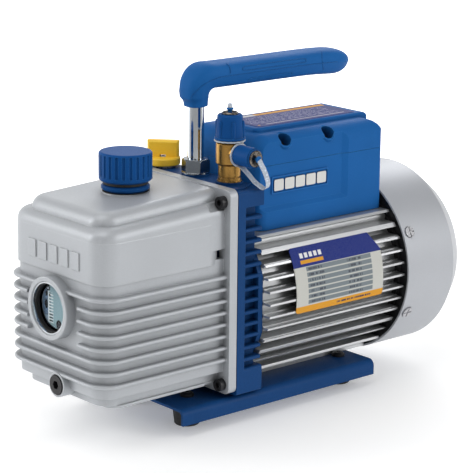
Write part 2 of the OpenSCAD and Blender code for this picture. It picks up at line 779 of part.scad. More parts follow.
module motor_section() {
    // round core with bolt bosses
    circle(core_r);
    for (x = [-40, 40], y = [-41, 41]) translate([x, y]) circle(5);
    // straight fins, all level, cut to a round outline
    intersection() {
        circle(motor_r);
        union() {
            for (k = [-5 : 5]) translate([-motor_r, k * mfin_pitch - 0.8]) square([2 * motor_r, 1.6]);
            // root of each fin is thicker
            for (k = [-4 : 4]) translate([-core_r - 3, k * mfin_pitch - 1.5])
                square([2 * core_r + 6, 3]);
        }
    }
    // foot, with two rails
    intersection() {
        circle(motor_r + 4);
        union() {
            translate([-26, base_z1 - shaft_z]) square([52, 2.6]);
            for (s = [-1, 1]) translate([s * 22 - 3, base_z1 - shaft_z]) square([6, 22]);
            translate([-42, -56.5]) square([84, 2]);
        }
    }
}

module motor_housing() color([0.8, 0.81, 0.82]) difference() {
    along_y(motor_y0, motor_y1) translate([0, shaft_z]) difference() {
        motor_section();
        circle(stator_r);
        for (x = [-40, 40], y = [-41, 41]) translate([x, y]) circle(2.4);
    }
    for (x = [-bolt_x, bolt_x]) translate([x, 40, base_z1 - 1]) cylinder(r = 3.05, h = 5);
}

// wraps round the fin tips
module motor_label() color([0.9, 0.9, 0.86]) intersection() {
    along_y(-3.5, 87) translate([0, shaft_z]) difference() {
        circle(motor_r + 0.7);
        circle(motor_r + 0.1);
    }
    along_x(0, 90) difference() {
        round_rect(-2.5, 85.5, shaft_z + label_z0, shaft_z + label_z1, 2.5);
        translate([85.5, shaft_z + label_z1]) rotate(35) square([14, 30], center = true);
    }
}

module stator_core() color([0.45, 0.46, 0.48]) along_y(10, 75) translate([0, shaft_z]) difference() {
    circle(stator_r - 0.1);
    circle(25);
    for (i = [0 : 23]) rotate(i * 15) translate([26.5, -1.6]) square([12, 3.2]);
}

module stator_windings() color([0.7, 0.35, 0.15])
    for (y = [[-8, 9.9], [75.1, 92]]) difference() {
        rod_y(43, y[0], y[1], 0, shaft_z);
        rod_y(28, y[0] - 1, y[1] + 1, 0, shaft_z);
    }

module rear_shield() color(black) difference() {
    union() {
        rod_y(62, motor_y1, motor_y1 + 5, 0, shaft_z);
        rod_y(cover_r - 1.6, motor_y1 + 1.6, motor_y1 + 4, 0, shaft_z);
        rod_y(stator_r - 0.1, motor_y1 - 3, motor_y1 + 1, 0, shaft_z);
        rod_y(24, 97, motor_y1 + 1, 0, shaft_z);
        for (a = [26 : 128 : 154], b = [0, 180]) rotate_shaft(a + b)
            block(52, 69.8, 112.2, 119.8, -5, 5);
    }
    rod_y(17.5, 90, 110, 0, shaft_z);
    rod_y(10, 90, 130, 0, shaft_z);
    for (a = [26 : 128 : 154], b = [0, 180]) rotate_shaft(a + b) rod_x_local();
    for (x = [-40, 40], z = [-41, 41]) rod_y(2.4, 100, 130, x, shaft_z + z);
}

// turns its children about the shaft
module rotate_shaft(a) translate([0, 0, shaft_z]) rotate([0, -a, 0]) children();

module rod_x_local() rod_x(2, 58, 75, 116, 0);

module bearings() color([0.6, 0.6, 0.62])
    for (y = [-39.4, 98.6]) difference() {
        rod_y(17.45, y, y + 11, 0, shaft_z);
        rod_y(shaft_r + 0.04, y - 1, y + 12, 0, shaft_z);
        for (e = [y - 1, y + 10]) difference() {
            rod_y(14.5, e, e + 2, 0, shaft_z);
            rod_y(11, e - 1, e + 3, 0, shaft_z);
        }
    }

module tie_bolts() color([0.5, 0.5, 0.52])
    for (x = [-40, 40], z = [-41, 41]) translate([0, 0, shaft_z]) {
        rod_y(2, -37, 115, x, z);
        translate([x, motor_y1 + 8.2, z]) rotate([90, 0, 0]) cylinder(r = 4.2, h = 3.2, $fn = 6);
    }

module fan_cover() color([0.72, 0.73, 0.76]) {
    t = 1.5;
    r2 = 59.8;
    difference() {
        translate([0, 0, shaft_z]) rotate([-90, 0, 0]) rotate_extrude()
            polygon([[cover_r - t, cover_y0], [cover_r, cover_y0], [cover_r, cover_y1], [r2, cover_y2],
                [0, cover_y2], [0, cover_y2 - t], [r2 - 0.8, cover_y2 - t], [cover_r - t, cover_y1 - 0.5]]);
        // air grille in the rear face
        along_y(cover_y2 - t - 1, cover_y2 + 1) translate([0, shaft_z]) for (r = [14 : 7 : 49])
            difference() {
                circle(r + 3.6);
                circle(r);
                for (a = [0 : 45 : 135]) rotate(a + 22.5) translate([-60, -2.6]) square([120, 5.2]);
            }
        for (a = [26 : 128 : 154], b = [0, 180]) rotate_shaft(a + b) {
            rod_x(2.2, 60, 80, 116, 0);
            rod_x(4.5, cover_r - 1, 80, 116, 0);
        }
    }
}

module cover_screws() color([0.8, 0.8, 0.82])
    for (a = [26 : 128 : 154], b = [0, 180]) rotate_shaft(a + b) difference() {
        translate([0, 116, 0]) {
            rod_x(1.95, 60, cover_r);
            rod_x(4.3, cover_r - 0.95, cover_r + 1.1);
        }
        translate([cover_r + 0.3, 112, -0.5]) cube([3, 8, 1]);
        translate([cover_r + 0.3, 115.5, -4]) cube([3, 1, 8]);
    }

module motor_shaft() color([0.65, 0.65, 0.67]) translate([0, 0, shaft_z]) {
    rod_y(shaft_r, -42, 147);
    rod_y(10.4, -44.4, -41);
    rod_y(11, 96, 97.4);
}

module rotor_core() color([0.5, 0.51, 0.53]) translate([0, 0, shaft_z]) difference() {
    union() {
        rod_y(24.5, 10, 75);
        for (y = [4, 75]) difference() {
            rod_y(24, y, y + 6);
            rod_y(17, y - 1, y + 7);
        }
    }
    rod_y(shaft_r, 0, 90);
}

module cooling_fan() color([0.2, 0.2, 0.22]) translate([0, 0, shaft_z]) difference() {
    union() {
        rod_y(13, 121, 143);
        rod_y(57, 121, 123);
        for (i = [0 : 9]) rotate([0, i * 36, 0]) block(11, 58, 122, 142, -1.1, 1.1);
    }
    rod_y(shaft_r, 110, 150);
}

// ---- pump stages ----

module stage_block(y0, y1) translate([0, 0, shaft_z]) difference() {
    rod_y(39, y0, y1);
    rod_y(stage_r, y0 - 1, y1 + 1, 0, -stage_e);
    for (a = [45 : 90 : 315]) rod_y(2.6, y0 - 1, y1 + 1, 36.2 * cos(a), 36.2 * sin(a));
    // ports
    for (s = [-1, 1]) translate([s * 20, (y0 + y1) / 2, 18])
        rotate([0, s * 20, 0]) cylinder(r = 2.5, h = 30);
}

module stage_one() color([0.5, 0.5, 0.52]) stage_block(-96, joint_y - 0.1);

module stage_two() color([0.5, 0.5, 0.52]) stage_block(-122, -102);

module stage_plates() color([0.45, 0.45, 0.47]) translate([0, 0, shaft_z])
    for (y = [[-102, -96], [-129, -122]]) difference() {
        rod_y(39, y[0], y[1]);
        rod_y(pshaft_r + 0.05, y[0] - 1, y[1] + 1);
        for (a = [45 : 90 : 315]) rod_y(2.6, y[0] - 1, y[1] + 1, 36.2 * cos(a), 36.2 * sin(a));
    }

module shaft_seal() color([0.25, 0.12, 0.08]) difference() {
    rod_y(12.95, joint_y, joint_y + 7, 0, shaft_z);
    rod_y(pshaft_r + 0.05, joint_y - 1, joint_y + 8, 0, shaft_z);
}

module pump_bolts() color([0.3, 0.3, 0.31]) translate([0, 0, shaft_z])
    for (a = [45 : 90 : 315]) translate([36.2 * cos(a), 0, 36.2 * sin(a)]) {
        rod_y(2.2, -130, joint_y + 8);
        translate([0, -129, 0]) rotate([90, 0, 0]) cylinder(r = 4.4, h = 4, $fn = 6);
    }

// both rotors on their shaft; slots lie level at rest, where the gap is the same on each side
module stage_rotors() color([0.62, 0.62, 0.64]) translate([0, 0, shaft_z]) difference() {
    union() {
        rod_y(pshaft_r, -128, -44.5);
        rod_y(rotor_r, -95.6, joint_y - 0.5);
        rod_y(rotor_r, -121.6, -102.4);
    }
    for (y = [[-97, joint_y], [-123, -101]]) for (s = [-1, 1])
        block(min(s * 11, s * 30), max(s * 11, s * 30), y[0], y[1], -2.05, 2.05);
}

module vane(s, y0, y1) color([0.18, 0.16, 0.14]) translate([0, 0, shaft_z]) intersection() {
    block(min(s * 12.6, s * 30), max(s * 12.6, s * 30), y0, y1, -2, 2);
    rod_y(rotor_r - 0.1, y0 - 1, y1 + 1);
}

module vane_1a() vane(1, -95.6, joint_y - 0.5);
module vane_1b() vane(-1, -95.6, joint_y - 0.5);
module vane_2a() vane(1, -121.6, -102.4);
module vane_2b() vane(-1, -121.6, -102.4);

base_plate();
rubber_feet();
foot_screws();
centre_bracket();
bracket_bolts();
tank_gasket();
oil_tank();
tank_screws();
sight_ring();
sight_seal();
sight_glass();
level_plate();
filler_collar();
exhaust_filter();
handle_post();
handle_nut();
handle_grip();
ballast_body();
inlet_tee();
box_base();
box_cover();
box_label();
side_badge();
box_screws();
capacitors();
switch_frame();
power_inlet();
inlet_pins();
motor_housing();
motor_label();
stator_core();
stator_windings();
rear_shield();
bearings();
tie_bolts();
fan_cover();
cover_screws();
stage_one();
stage_two();
stage_plates();
shaft_seal();
pump_bolts();
motor_shaft();
rotor_core();
cooling_fan();
stage_rotors();
vane_1a();
vane_1b();
vane_2a();
vane_2b();
ballast_knob();
rocker();
filler_cap();
filler_seal();
top_cap();
top_tether();
side_cap();
side_tether();
drain_plug();
drain_seal();
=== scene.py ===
import bpy, bmesh, json
from math import cos, pi, radians, sin
from mathutils import Matrix, Vector
from mathutils.bvhtree import BVHTree


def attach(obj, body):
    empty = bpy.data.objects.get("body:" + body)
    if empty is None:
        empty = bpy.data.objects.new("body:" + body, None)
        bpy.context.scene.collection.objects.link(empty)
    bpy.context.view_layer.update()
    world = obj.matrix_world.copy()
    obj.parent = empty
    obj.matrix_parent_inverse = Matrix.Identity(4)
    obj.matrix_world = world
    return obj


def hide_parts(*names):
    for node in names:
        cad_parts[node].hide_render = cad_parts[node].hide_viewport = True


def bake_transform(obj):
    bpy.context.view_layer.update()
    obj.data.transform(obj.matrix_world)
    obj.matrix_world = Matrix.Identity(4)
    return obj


# Two-stage rotary vane vacuum pump. The CAD nodes get procedural materials. The handle grip and the two
# clear straps are drawn here and stand for their CAD nodes. Materials measure in metres. Pieces are given
# in millimetres, and loft() turns them into metres.

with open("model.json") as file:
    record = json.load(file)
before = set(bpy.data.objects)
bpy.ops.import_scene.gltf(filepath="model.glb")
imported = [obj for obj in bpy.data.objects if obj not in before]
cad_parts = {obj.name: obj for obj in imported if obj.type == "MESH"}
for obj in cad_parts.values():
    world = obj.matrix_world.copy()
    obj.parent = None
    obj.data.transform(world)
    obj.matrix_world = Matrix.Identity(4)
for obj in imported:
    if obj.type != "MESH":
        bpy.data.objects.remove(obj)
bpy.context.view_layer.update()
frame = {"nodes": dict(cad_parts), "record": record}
nodes = frame["nodes"]
scene = bpy.context.scene
MM = 0.001

# places of the CAD, in metres for the materials
SHAFT = 0.0872
SIGHT = 0.0973
# and in millimetres for the pieces
TEE_X, TEE_Y = 35.3, -40
SIDE_PORT_Z = 195.7
POST_Y = -41.8
FILLER_FOOT = (0, -106.2, 171.5)

# ---------------------------------------------------------------- camera
AZIMUTH, PITCH, ROLL = radians(48.76), radians(14.26), radians(0.64)
CAMERA_AT = (1.09315, -0.96004, 0.4906)
look = Vector((-sin(AZIMUTH) * cos(PITCH), cos(AZIMUTH) * cos(PITCH), -sin(PITCH)))
side = Vector((cos(AZIMUTH), sin(AZIMUTH), 0))
above = side.cross(look)
right = side * cos(ROLL) + above * sin(ROLL)
up = above * cos(ROLL) - side * sin(ROLL)
cam = bpy.data.objects.new("camera", bpy.data.cameras.new("camera"))
scene.collection.objects.link(cam)
cam.matrix_world = Matrix([(right[i], up[i], -look[i], CAMERA_AT[i]) for i in range(3)] + [(0, 0, 0, 1)])
cam.data.lens = 153.44
cam.data.clip_start = 0.05
scene.camera = cam


# ---------------------------------------------------------------- materials
class Tree:
    """Short way to build a node material. Masks are numbers from 0 to 1."""

    def __init__(self, name):
        self.mat = bpy.data.materials.new(name)
        self.mat.use_nodes = True
        self.t = self.mat.node_tree
        self.t.nodes.clear()
        out = self.add("ShaderNodeOutputMaterial")
        self.bsdf = self.add("ShaderNodeBsdfPrincipled")
        self.link(self.bsdf.outputs[0], out.inputs[0])
        self.coord = self.add("ShaderNodeTexCoord").outputs["Object"]

    def add(self, kind, **values):
        n = self.t.nodes.new(kind)
        for k, v in values.items():
            setattr(n, k, v)
        return n

    def link(self, a, b):
        self.t.links.new(a, b)

    def put(self, socket, value):
        if isinstance(value, bpy.types.NodeSocket):
            self.link(value, socket)
        else:
            socket.default_value = value

    def shader(self, name, value):
        """Sets or links one input of the shader."""
        self.put(self.bsdf.inputs[name], value)

    def noise(self, scale, detail=3.0, stretch=None):
        n = self.add("ShaderNodeTexNoise")
        n.inputs["Scale"].default_value = scale
        n.inputs["Detail"].default_value = detail
        place = self.coord
        if stretch:
            m = self.add("ShaderNodeMapping")
            m.inputs["Scale"].default_value = stretch
            self.link(place, m.inputs[0])
            place = m.outputs[0]
        self.link(place, n.inputs["Vector"])
        return n.outputs[0]

    def map(self, value, a, b, c, d):
        """Maps the range a to b onto c to d, held at its ends."""
        n = self.add("ShaderNodeMapRange")
        for i, v in enumerate((value, a, b, c, d)):
            self.put(n.inputs[i], v)
        return n.outputs[0]

    def math(self, op, a, b=None):
        n = self.add("ShaderNodeMath", operation=op)
        for i, v in enumerate((a, b)):
            if v is not None:
                self.put(n.inputs[i], v)
        return n.outputs[0]

    def mix(self, fac, a, b):
        n = self.add("ShaderNodeMix", data_type="RGBA")
        self.put(n.inputs[0], fac)
        for i, v in ((6, a), (7, b)):
            self.put(n.inputs[i], v if isinstance(v, bpy.types.NodeSocket) else (*v[:3], 1))
        return n.outputs[2]

    def xyz(self):
        n = self.add("ShaderNodeSeparateXYZ")
        self.link(self.coord, n.inputs[0])
        return n.outputs

    def band(self, value, lo, hi, soft=0.00015):
        """1 between lo and hi, 0 outside."""
        return self.all(self.map(value, lo - soft, lo + soft, 0, 1),
                        self.map(value, hi - soft, hi + soft, 1, 0))

    def all(self, first, *others):
        """1 where every mask is 1."""
        for mask in others:
            first = self.math("MULTIPLY", first, mask)
        return first

    def count(self, value, start, pitch):
        """Number of pitches from start to value."""
        return self.math("DIVIDE", self.math("SUBTRACT", value, start), pitch)

    def repeat(self, value, start, pitch):
        """0 to 1 within each pitch."""
        return self.math("FRACT", self.count(value, start, pitch))

    def spot(self, u, v, cu, cv, ru, rv):
        """1 inside the ellipse about (cu, cv) with half axes ru and rv."""
        u = self.math("DIVIDE", self.math("SUBTRACT", u, cu), ru)
        v = self.math("DIVIDE", self.math("SUBTRACT", v, cv), rv)
        square = self.math("ADD", self.math("MULTIPLY", u, u), self.math("MULTIPLY", v, v))
        return self.map(square, 0.92, 1.08, 1, 0)

    def relief(self, height, strength, normal=None):
        """Fine relief, up to 0.1 mm deep."""
        n = self.add("ShaderNodeBump")
        n.inputs["Strength"].default_value = strength
        n.inputs["Distance"].default_value = 0.1 * MM
        self.link(height, n.inputs["Height"])
        if normal is not None:
            self.link(normal, n.inputs["Normal"])
        self.shader("Normal", n.outputs[0])


def finish(name, base, rough, metal=0.0, spread=0.06, grain=900, bump=0.08, edge=0.35, edge_highlight=None,
           coat=0.0, rvar=0.08, hollow_shade=0.0, stretch=None):
    """A coated, cast, moulded or turned surface.

    The base colour changes by spread at two scales, and rough by rvar. grain and bump are the scale and
    strength of the fine relief, drawn out by stretch. Edges look rounded by edge mm. edge_highlight is the
    colour and share of a highlight painted on the edges, and hollow_shade is how much painted shade
    darkens the hollows.
    """
    t = Tree(name)
    fine, broad = t.noise(grain, 2.5, stretch), t.noise(22, 3)
    dark = [c * (1 - spread) for c in base]
    light = [min(1, c * (1 + spread)) for c in base]
    col = t.mix(t.map(broad, 0.3, 0.7, 0, 1), dark, light)
    col = t.mix(t.map(fine, 0.35, 0.65, 0, 0.55), col, [c * (1 - 2.2 * spread) for c in base])
    bevel = t.add("ShaderNodeBevel", samples=4)
    bevel.inputs["Radius"].default_value = edge * MM
    if edge_highlight:
        # painted highlight: edges, where the bevelled normal leaves the true one, get a lighter colour
        *highlight_colour, share = edge_highlight
        dot = t.add("ShaderNodeVectorMath", operation="DOT_PRODUCT")
        t.link(bevel.outputs[0], dot.inputs[0])
        t.link(t.add("ShaderNodeNewGeometry").outputs["Normal"], dot.inputs[1])
        near = t.map(dot.outputs["Value"], 0.985, 0.86, 0, 1)
        col = t.mix(t.all(near, t.map(broad, 0.35, 0.65, share * 0.5, share)), col, highlight_colour)
    # painted shade: the base colour darkens where ambient occlusion finds a hollow
    if hollow_shade:
        hollow = t.add("ShaderNodeAmbientOcclusion", samples=4)
        hollow.inputs["Distance"].default_value = 12 * MM
        col = t.mix(t.map(hollow.outputs["AO"], 0.25, 0.85, hollow_shade, 0), col, [c * 0.25 for c in base])
    t.shader("Base Color", col)
    t.shader("Roughness", t.map(fine, 0.3, 0.7, rough - rvar, rough + rvar))
    t.shader("Metallic", metal)
    if coat:
        t.shader("Coat Weight", coat)
        t.shader("Coat Roughness", 0.12)
    t.relief(fine, bump, bevel.outputs[0])
    return t


cast = finish("cast_silver", (0.49, 0.51, 0.535), rough=0.44, metal=0.32, spread=0.04, grain=1500,
              bump=0.3, edge=0.75, edge_highlight=(0.8, 0.82, 0.85, 0.7), hollow_shade=0.5)
cover = finish("cover_silver", (0.46, 0.475, 0.505), rough=0.46, metal=0.4, spread=0.03, grain=2200,
               bump=0.16, edge=0.8, edge_highlight=(0.62, 0.63, 0.66, 0.4))
alu = finish("extruded_aluminium", (0.66, 0.67, 0.68), rough=0.36, metal=0.75, spread=0.03, grain=700,
             bump=0.08, edge=0.3, edge_highlight=(0.85, 0.86, 0.87, 0.6), hollow_shade=0.55, stretch=(6, 0.6, 6))
blue_paint = finish("blue_paint", (0.008, 0.055, 0.185), rough=0.45, spread=0.08, grain=1300, bump=0.12,
                    edge=0.6, edge_highlight=(0.02, 0.11, 0.29, 0.4), coat=0.06, hollow_shade=0.5)
blue_plastic = finish("blue_plastic", (0.013, 0.118, 0.37), rough=0.5, grain=1700, bump=0.12, edge=0.8,
                      edge_highlight=(0.05, 0.25, 0.58, 0.7), hollow_shade=0.55)
blue_gloss = finish("blue_cap_plastic", (0.007, 0.075, 0.27), rough=0.42, spread=0.07, grain=1500,
                    bump=0.05, edge=0.4, edge_highlight=(0.06, 0.27, 0.62, 0.7), hollow_shade=0.7)
nut_chrome = finish("dark_chrome", (0.27, 0.29, 0.31), rough=0.16, metal=1.0, spread=0.05, grain=500,
                    bump=0.05, edge=0.5, edge_highlight=(0.7, 0.72, 0.74, 0.6), rvar=0.04)
star_steel = finish("star_ring_steel", (0.2, 0.175, 0.15), rough=0.2, metal=1.0, spread=0.1, grain=500,
                    bump=0.05, edge=0.25, edge_highlight=(0.7, 0.68, 0.64, 0.7), rvar=0.05)
chrome = finish("chrome", (0.62, 0.65, 0.68), rough=0.08, metal=1.0, spread=0.03, grain=300, bump=0.02,
                edge=0.3, rvar=0.03)
steel = finish("zinc_steel", (0.5, 0.5, 0.52), rough=0.3, metal=1.0, spread=0.08, grain=800, bump=0.12,
               edge=0.2)
black_steel = finish("black_oxide", (0.014, 0.014, 0.016), rough=0.34, metal=0.25, spread=0.2,
                     grain=1000, bump=0.1, edge=0.3, edge_highlight=(0.12, 0.12, 0.13, 0.5))
black_plastic = finish("black_plastic", (0.02, 0.02, 0.022), rough=0.42, spread=0.2, grain=1500,
                       bump=0.15, edge=0.3)
rubber = finish("rubber", (0.015, 0.015, 0.016), rough=0.62, spread=0.25, grain=1200, bump=0.25, edge=0.3)
brass = finish("brass", (0.5, 0.28, 0.075), rough=0.28, metal=1.0, spread=0.12, bump=0.1, edge=0.3,
               edge_highlight=(0.8, 0.56, 0.24, 0.45), hollow_shade=0.7, stretch=(1, 1, 5))
copper = finish("copper", (0.62, 0.24, 0.1), rough=0.32, metal=1.0, spread=0.12, grain=400, bump=0.5,
                edge=0.2, stretch=(1, 9, 1))
iron = finish("cast_iron", (0.2, 0.2, 0.21), rough=0.55, metal=0.6, spread=0.12, grain=600, bump=0.5,
              edge=0.4)
yellow = finish("yellow_plastic", (0.98, 0.6, 0.03), rough=0.45, spread=0.05, grain=1200, bump=0.1,
                edge_highlight=(0.95, 0.6, 0.06, 0.5), hollow_shade=0.25)
carbon = finish("vane_composite", (0.11, 0.08, 0.055), rough=0.5, spread=0.2, bump=0.2, edge=0.2,
                stretch=(1, 6, 1))
paper = finish("filter_paper", (0.75, 0.72, 0.62), rough=0.8, grain=700, bump=0.4, edge=0.2)
red = finish("red_rocker", (0.5, 0.025, 0.018), rough=0.28, spread=0.05, grain=1200, bump=0.05, edge=0.3,
             edge_highlight=(0.9, 0.2, 0.15, 0.4))
clear = finish("clear_strap", (0.7, 0.77, 0.86), rough=0.22, spread=0.04, grain=500, bump=0.1, edge=0.2)
clear.shader("Transmission Weight", 0.35)
cast.shader("Specular IOR Level", 0.25)
for blue in (blue_plastic, blue_paint, blue_gloss):
    blue.shader("Specular IOR Level", 0.06)

glass = Tree("sight_glass")
glass.shader("Base Color", (0.93, 0.98, 1, 1))
glass.shader("Transmission Weight", 1.0)
glass.shader("IOR", 1.12)
glass.shader("Roughness", glass.map(glass.noise(60), 0.3, 0.7, 0.0, 0.03))


def printed(name, paint):
    """A printed foil. paint(t, x, y, z) gives its colour at a place in the frame."""
    t = Tree(name)
    n = t.noise(1400, 2)
    t.shader("Base Color", t.mix(t.map(n, 0.3, 0.7, 0, 0.1), paint(t, *t.xyz()), (0.3, 0.3, 0.32)))
    t.shader("Roughness", t.map(n, 0.3, 0.7, 0.26, 0.38))
    t.shader("Specular IOR Level", 0.02)
    t.relief(n, 0.04)
    return t


def marks(t, along, across, lo, hi, pitch, keep=0.5, length=900):
    """Rows of broken strokes, as print too small to read. 1 where a stroke is."""
    row = t.count(across, lo, pitch)
    u = t.add("ShaderNodeCombineXYZ")
    t.link(t.math("MULTIPLY", along, length), u.inputs[0])
    t.link(t.math("MULTIPLY", t.math("FLOOR", row), 7.3), u.inputs[1])
    n = t.add("ShaderNodeTexNoise")
    n.inputs["Scale"].default_value = 1.0
    n.inputs["Detail"].default_value = 2.0
    t.link(u.outputs[0], n.inputs["Vector"])
    stroke = t.map(n.outputs[0], keep - 0.03, keep + 0.03, 0, 1)
    return t.all(t.band(t.math("FRACT", row), 0.3, 0.72, 0.06), stroke, t.band(across, lo, hi))


NAVY, ORANGE, PAPER = (0.02, 0.035, 0.2), (0.72, 0.33, 0.03), (0.58, 0.58, 0.54)


def plate_paint(t, x, y, z):
    """Motor label: a navy head with plain bars, grey rows between pale lines, and an orange foot."""
    foot, head = SHAFT - 0.0055, SHAFT + 0.0225
    pitch = 0.004
    col = t.mix(t.band(z, head, 1), PAPER, NAVY)
    grey = t.all(t.band(t.repeat(z, foot, pitch), 0.14, 0.9, 0.04), t.band(z, foot, head),
                 t.band(y, 0.009, 0.0745))
    col = t.mix(grey, col, (0.2, 0.235, 0.255))
    columns = t.math("MAXIMUM", t.band(y, 0.011, 0.026), t.band(y, 0.05, 0.064))
    col = t.mix(t.all(columns, marks(t, y, z, foot, head, pitch, 0.47)), col, (0.08, 0.09, 0.11))
    col = t.mix(t.band(z, 0, SHAFT - 0.006), col, ORANGE)
    line = marks(t, y, z, SHAFT - 0.0102, SHAFT - 0.0068, 0.0034, 0.46, 700)
    col = t.mix(t.all(line, t.band(y, 0.038, 0.073)), col, (0.06, 0.05, 0.08))
    bars = t.all(t.band(t.repeat(y, 0, 0.0046), 0.2, 0.86, 0.05), t.band(y, 0.0046, 0.0276),
                 t.band(z, SHAFT + 0.0285, SHAFT + 0.0318))
    col = t.mix(bars, col, (0.8, 0.8, 0.8))
    return t.mix(t.all(t.band(y, 0.005, 0.0276), t.band(z, SHAFT + 0.0245, SHAFT + 0.027)), col, ORANGE)


def cover_paint(t, x, y, z):
    """Label on the terminal box: an orange bar with a grey end, rows of strokes, a pale line and a dot."""
    bar = t.band(x, -0.018, -0.0128)
    col = t.mix(bar, NAVY, ORANGE)
    col = t.mix(t.all(bar, t.band(y, 0, 0.028)), col, (0.62, 0.62, 0.62))
    col = t.mix(t.all(t.band(x, 0.0152, 0.0163), t.band(y, 0.012, 0.091)), col, (0.62, 0.58, 0.62))
    ink = t.all(marks(t, y, x, -0.0108, 0.0135, 0.0033, 0.5, 800), t.band(y, 0.004, 0.09))
    col = t.mix(ink, col, (0.34, 0.33, 0.5))
    return t.mix(t.spot(y, x, 0.0052, 0.0158, 0.0012, 0.001), col, ORANGE)


def badge_paint(t, x, y, z):
    """Side badge: pale raised blocks in a blue frame; the ground between the blocks and their sides are
    painted dark as their shadow.
    """
    inner = t.all(t.band(z, 0.1625, 0.1711), t.band(y, -0.0007, 0.0521))
    proud = t.all(inner, t.map(x, 0.03955, 0.03965, 0, 1))
    return t.mix(proud, t.mix(inner, (0.011, 0.13, 0.41), (0.006, 0.02, 0.07)), (0.72, 0.72, 0.7))


def level_paint(t, x, y, z):
    """Scale comb and drain dot on the pale plate behind the sight glass, with painted reflections at the
    left.
    """
    low, comb_top = SIGHT - 0.0131, SIGHT + 0.0093
    col = t.mix(t.map(z, SIGHT - 0.014, SIGHT + 0.012, 0, 1), (0.36, 0.5, 0.53), (0.33, 0.46, 0.5))
    # painted reflection: left of the comb's spine the plate is dark, paler at its foot
    left = t.map(x, -0.0088, -0.0084, 1, 0)
    left_reflection = t.mix(t.map(t.noise(900, 2), 0.4, 0.6, 0, 1), (0.09, 0.12, 0.16), (0.16, 0.25, 0.4))
    col = t.mix(left, col, left_reflection)
    col = t.mix(t.all(t.map(z, SIGHT - 0.0083, SIGHT - 0.0078, 1, 0), left), col, (0.3, 0.4, 0.5))
    tooth = t.repeat(z, low, 0.0022)
    gaps = t.all(t.band(tooth, 0.62, 0.98, 0.05), t.band(x, -0.0074, -0.0056),
                 t.band(z, SIGHT - 0.0058, comb_top))
    teeth = t.all(t.band(tooth, 0.1, 0.56, 0.05), t.band(x, -0.0078, -0.0026), t.band(z, low, comb_top))
    deep = t.all(t.band(tooth, 0.58, 1.0, 0.04), t.band(x, -0.0074, -0.0034), t.band(z, low, SIGHT - 0.0065))
    spine = t.all(t.band(x, -0.0088, -0.0074), t.band(z, SIGHT - 0.0128, SIGHT + 0.0105))
    for mask, colour in ((gaps, (0.06, 0.1, 0.12)), (teeth, (0.8, 0.82, 0.8)), (deep, (0.004, 0.004, 0.005)),
                         (spine, (0.85, 0.87, 0.86))):
        col = t.mix(mask, col, colour)
    # dots: middle across, middle above the plate's middle, half width, half height, shade. The first two make
    # the drain dot; the rest are painted reflections, dark with one pale glint.
    for cx, cz, rx, rz, shade in ((0.0038, -0.0125, 0.0032, 0.0034, 0.01),
                                  (0.0038, -0.0125, 0.0018, 0.0022, 0.06),
                                  (-0.0109, -0.0002, 0.0019, 0.0034, 0.006),
                                  (-0.0105, 0.0075, 0.0013, 0.0019, 0.006),
                                  (-0.0068, 0.0068, 0.0008, 0.0009, 0.006),
                                  (-0.0086, 0.0118, 0.0025, 0.002, 0.01),
                                  (-0.0086, 0.0116, 0.0012, 0.0008, 0.5)):
        col = t.mix(t.spot(x, z, cx, SIGHT + cz, rx, rz), col, (shade, shade, shade * 1.15))
    return col


SLOTS = {
    "blue_paint": blue_paint, "blue_plastic": blue_plastic, "cast_silver": cast, "cover_silver": cover,
    "black_rubber": rubber, "black_steel": black_steel, "black_plastic": black_plastic, "steel": steel,
    "chrome": chrome, "glass": glass, "level": printed("level_plate", level_paint), "filter": paper,
    "yellow_plastic": yellow, "brass": brass, "clear_plastic": clear, "aluminium": alu,
    "label_blue": printed("cover_label", cover_paint), "label_white": printed("side_badge", badge_paint),
    "copper": copper, "cast_iron": iron, "vane": carbon, "switch_red": red,
}
# nodes that don't look like the rest of their slot
SPECIAL = {
    "motor_label": printed("rating_label", plate_paint), "filler_cap": blue_gloss, "top_cap": blue_gloss,
    "side_cap": blue_gloss, "filler_collar": blue_gloss, "box_screws": black_steel,
    "handle_nut": nut_chrome,
}
for part in frame["record"]["subparts"]:
    o = nodes[part["node"]]
    look_of_it = SPECIAL.get(part["node"]) or SLOTS[part["material_slot"]]
    for s in o.material_slots:
        s.link = "OBJECT"
        s.material = look_of_it.mat
    if not o.material_slots:
        o.data.materials.append(look_of_it.mat)


# ---------------------------------------------------------------- pieces
def piece(name, bm, mat, body, sharp=40, subdiv=0):
    mesh = bpy.data.meshes.new(name)
    bmesh.ops.recalc_face_normals(bm, faces=bm.faces)
    bm.to_mesh(mesh)
    bm.free()
    o = bpy.data.objects.new(name, mesh)
    scene.collection.objects.link(o)
    mesh.materials.append(mat.mat)
    for p in mesh.polygons:
        p.use_smooth = True
    mesh.set_sharp_from_angle(angle=radians(sharp))
    if subdiv:
        m = o.modifiers.new("subdivision", "SUBSURF")
        m.levels = m.render_levels = subdiv
    if body:
        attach(o, body)
    return o


def loft(bm, rings):
    """Closed skin through rings of points, given in millimetres."""
    rows = [[bm.verts.new(Vector(p) * MM) for p in r] for r in rings]
    n = len(rings[0])
    for a, b in zip(rows, rows[1:]):
        for i in range(n):
            bm.faces.new((a[i], a[(i + 1) % n], b[(i + 1) % n], b[i]))
    bm.faces.new(rows[0])
    bm.faces.new(rows[-1])
    return rows


def from_axis(centre, axis, u, v, h):
    """Point h along the axis, "z" or "x", and (u, v) across it, from a centre."""
    return Vector(centre) + Vector((u, v, h) if axis == "z" else (h, u, v))


def turned(bm, profile, centre, axis="z", n=48):
    """Body of revolution from (radius, height) pairs in millimetres."""
    loft(bm, [[from_axis(centre, axis, r * cos(2 * pi * i / n), r * sin(2 * pi * i / n), h) for i in range(n)]
              for r, h in profile])


